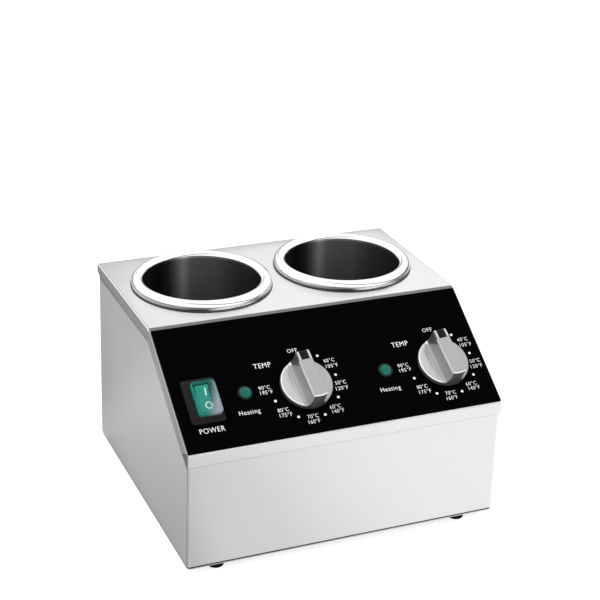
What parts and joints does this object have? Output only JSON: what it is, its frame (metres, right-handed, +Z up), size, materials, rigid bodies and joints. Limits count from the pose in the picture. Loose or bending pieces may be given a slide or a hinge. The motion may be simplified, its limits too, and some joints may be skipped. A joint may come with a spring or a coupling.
{
  "type": "hot fudge topping warmer",
  "caption": "Countertop topping warmer: lift-out round pots sunk in a flat steel top, sloped glossy control face with dial knobs, indicator lamps and a rocker switch, on rubber feet.",
  "frame": {"origin": "centre of the bounding box at the level the feet stand on", "axes": "+X to the right of someone who faces the controls, +Y to the rear, +Z up"},
  "size_m": [0.3024, 0.2806, 0.2008],
  "materials": {
    "stainless_steel": "fine straight grain, satin",
    "polished_steel": "polished, with faint vertical spinning marks inside",
    "plated_steel": "dull zinc plate",
    "satin_silver": "satin silver coating",
    "gloss_black_print": "glossy black printed film",
    "black_plastic": "fine satin black",
    "green_plastic": "translucent green",
    "green_lens": "translucent green, faceted inside",
    "rubber": "matte black rubber",
    "mica_band": "heat-tinted sheet over mica",
    "ceramic": "unglazed ceramic",
    "copper": "bare copper",
    "brass": "bare brass"
  },
  "bodies": {
    "body": {"top_cover": "stainless_steel", "base_shell": "stainless_steel", "rear_panel": "stainless_steel", "bottom_plate": "plated_steel", "rear_screw_1": "plated_steel", "rear_screw_2": "plated_steel", "rear_screw_3": "plated_steel", "rear_screw_4": "plated_steel", "foot_front_left": "rubber", "foot_screw_front_left": "plated_steel", "foot_front_right": "rubber", "foot_screw_front_right": "plated_steel", "foot_rear_left": "rubber", "foot_screw_rear_left": "plated_steel", "foot_rear_right": "rubber", "foot_screw_rear_right": "plated_steel", "well_left": "polished_steel", "heater_band_left": "mica_band", "band_bolt_left": "plated_steel", "heater_terminal_left": "ceramic", "well_right": "polished_steel", "heater_band_right": "mica_band", "band_bolt_right": "plated_steel", "heater_terminal_right": "ceramic", "control_overlay": "gloss_black_print", "thermostat_left": "plated_steel", "thermostat_screw_left_1": "plated_steel", "thermostat_screw_left_2": "plated_steel", "lamp_body_left": "black_plastic", "lamp_lens_left": "green_lens", "lamp_nut_left": "black_plastic", "sensor_left": "copper", "thermostat_right": "plated_steel", "thermostat_screw_right_1": "plated_steel", "thermostat_screw_right_2": "plated_steel", "lamp_body_right": "black_plastic", "lamp_lens_right": "green_lens", "lamp_nut_right": "black_plastic", "sensor_right": "copper", "switch_housing": "black_plastic", "switch_cap": "green_plastic", "cable_gland": "black_plastic", "gland_locknut": "black_plastic", "terminal_block": "ceramic", "earth_stud": "brass"},
    "knob_left": {"knob_shaft_left": "plated_steel", "knob_left": "satin_silver", "knob_insert_left": "black_plastic"},
    "pot_left": {"pot_left": "polished_steel"},
    "knob_right": {"knob_shaft_right": "plated_steel", "knob_right": "satin_silver", "knob_insert_right": "black_plastic"},
    "pot_right": {"pot_right": "polished_steel"},
    "rocker": {"switch_rocker": "green_plastic"}
  },
  "joints": [
    {"name": "knob_left_turn", "type": "hinge", "parent": "body", "child": "knob_left", "pos_m": [-0.0275, -0.10056, 0.14734], "axis": [0, 0.5592, -0.829], "range_deg": [0, 253]},
    {"name": "knob_right_turn", "type": "hinge", "parent": "body", "child": "knob_right", "pos_m": [0.1075, -0.10056, 0.14734], "axis": [0, 0.5592, -0.829], "range_deg": [0, 253]},
    {"name": "rocker_press", "type": "hinge", "parent": "body", "child": "rocker", "pos_m": [-0.1233, -0.10062, 0.14851], "axis": [-1, 0, 0], "range_deg": [0, 14]},
    {"name": "pot_left_lift", "type": "slide", "parent": "body", "child": "pot_left", "axis": [0, 0, 1], "range_m": [0, 0.15]},
    {"name": "pot_right_lift", "type": "slide", "parent": "body", "child": "pot_right", "axis": [0, 0, 1], "range_m": [0, 0.15]}
  ]
}
